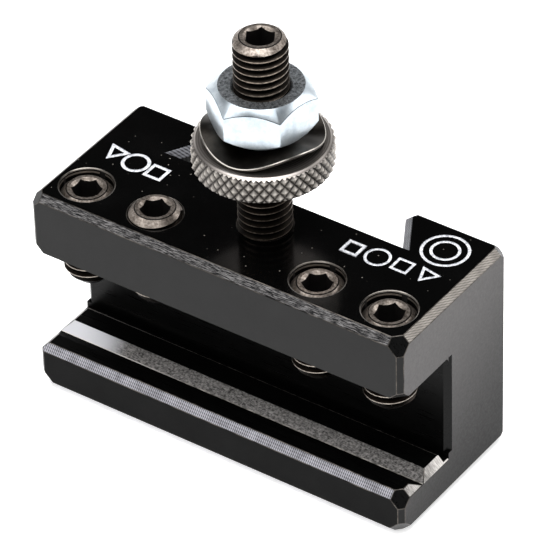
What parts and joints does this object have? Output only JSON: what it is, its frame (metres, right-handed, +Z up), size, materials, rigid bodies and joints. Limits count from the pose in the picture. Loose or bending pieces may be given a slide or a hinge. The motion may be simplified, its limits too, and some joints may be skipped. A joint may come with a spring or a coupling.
{
  "type": "quick change tool holder",
  "caption": "Steel dovetail tool holder with an open tool slot, clamping set screws and a threaded height stud with knurled nut, wave washer and lock nut.",
  "frame": {"origin": "middle of the block's underside", "axes": "+X along the tool slot, -Y out of the tool slot's mouth, +Y towards the tool post, +Z up along the height stud"},
  "size_m": [0.0508, 0.0216, 0.0541],
  "materials": {
    "body_steel": "black oxide over ground and milled faces, oiled",
    "screw_steel": "black oxide, worn to bare steel on the edges",
    "stud_steel": "dark oxide with bright thread crests",
    "knurl_steel": "bare turned steel with a diamond knurl",
    "spring_steel": "oil tempered spring steel",
    "zinc_steel": "bright zinc plate"
  },
  "bodies": {
    "holder": {"holder_body": "body_steel", "height_stud": "stud_steel"},
    "clamp_screw_1_body": {"clamp_screw_1": "screw_steel"},
    "clamp_screw_2_body": {"clamp_screw_2": "screw_steel"},
    "clamp_screw_3_body": {"clamp_screw_3": "screw_steel"},
    "clamp_screw_4_body": {"clamp_screw_4": "screw_steel"},
    "height_carrier": {"wave_washer": "spring_steel"},
    "height_nut_body": {"knurled_height_nut": "knurl_steel"},
    "lock_nut_body": {"lock_nut": "zinc_steel"}
  },
  "joints": [
    {"name": "clamp_screw_1_travel", "type": "slide", "parent": "holder", "child": "clamp_screw_1_body", "axis": [0, 0, -1], "range_m": [-0.0048, 0.0038]},
    {"name": "clamp_screw_2_travel", "type": "slide", "parent": "holder", "child": "clamp_screw_2_body", "axis": [0, 0, -1], "range_m": [-0.0036, 0.005]},
    {"name": "clamp_screw_3_travel", "type": "slide", "parent": "holder", "child": "clamp_screw_3_body", "axis": [0, 0, -1], "range_m": [-0.0048, 0.0038]},
    {"name": "clamp_screw_4_travel", "type": "slide", "parent": "holder", "child": "clamp_screw_4_body", "axis": [0, 0, -1], "range_m": [-0.0048, 0.0038]},
    {"name": "height_travel", "type": "slide", "parent": "holder", "child": "height_carrier", "axis": [0, 0, 1], "range_m": [-0.00817, 0.00544]},
    {"name": "height_nut_turn", "type": "hinge", "parent": "height_carrier", "child": "height_nut_body", "pos_m": [0.00045, -0.00075, 0.03853], "axis": [0, 0, 1], "range_deg": [-3240, 2160]},
    {"name": "lock_nut_turn", "type": "hinge", "parent": "height_carrier", "child": "lock_nut_body", "pos_m": [0.00045, -0.00075, 0.04484], "axis": [0, 0, 1], "range_deg": [-3240, 2160]}
  ],
  "couplings": [
    {"joint": "height_travel", "follows": "height_nut_turn", "m_per_rad": 0.00014438},
    {"joint": "lock_nut_turn", "follows": "height_nut_turn", "ratio": 1}
  ]
}
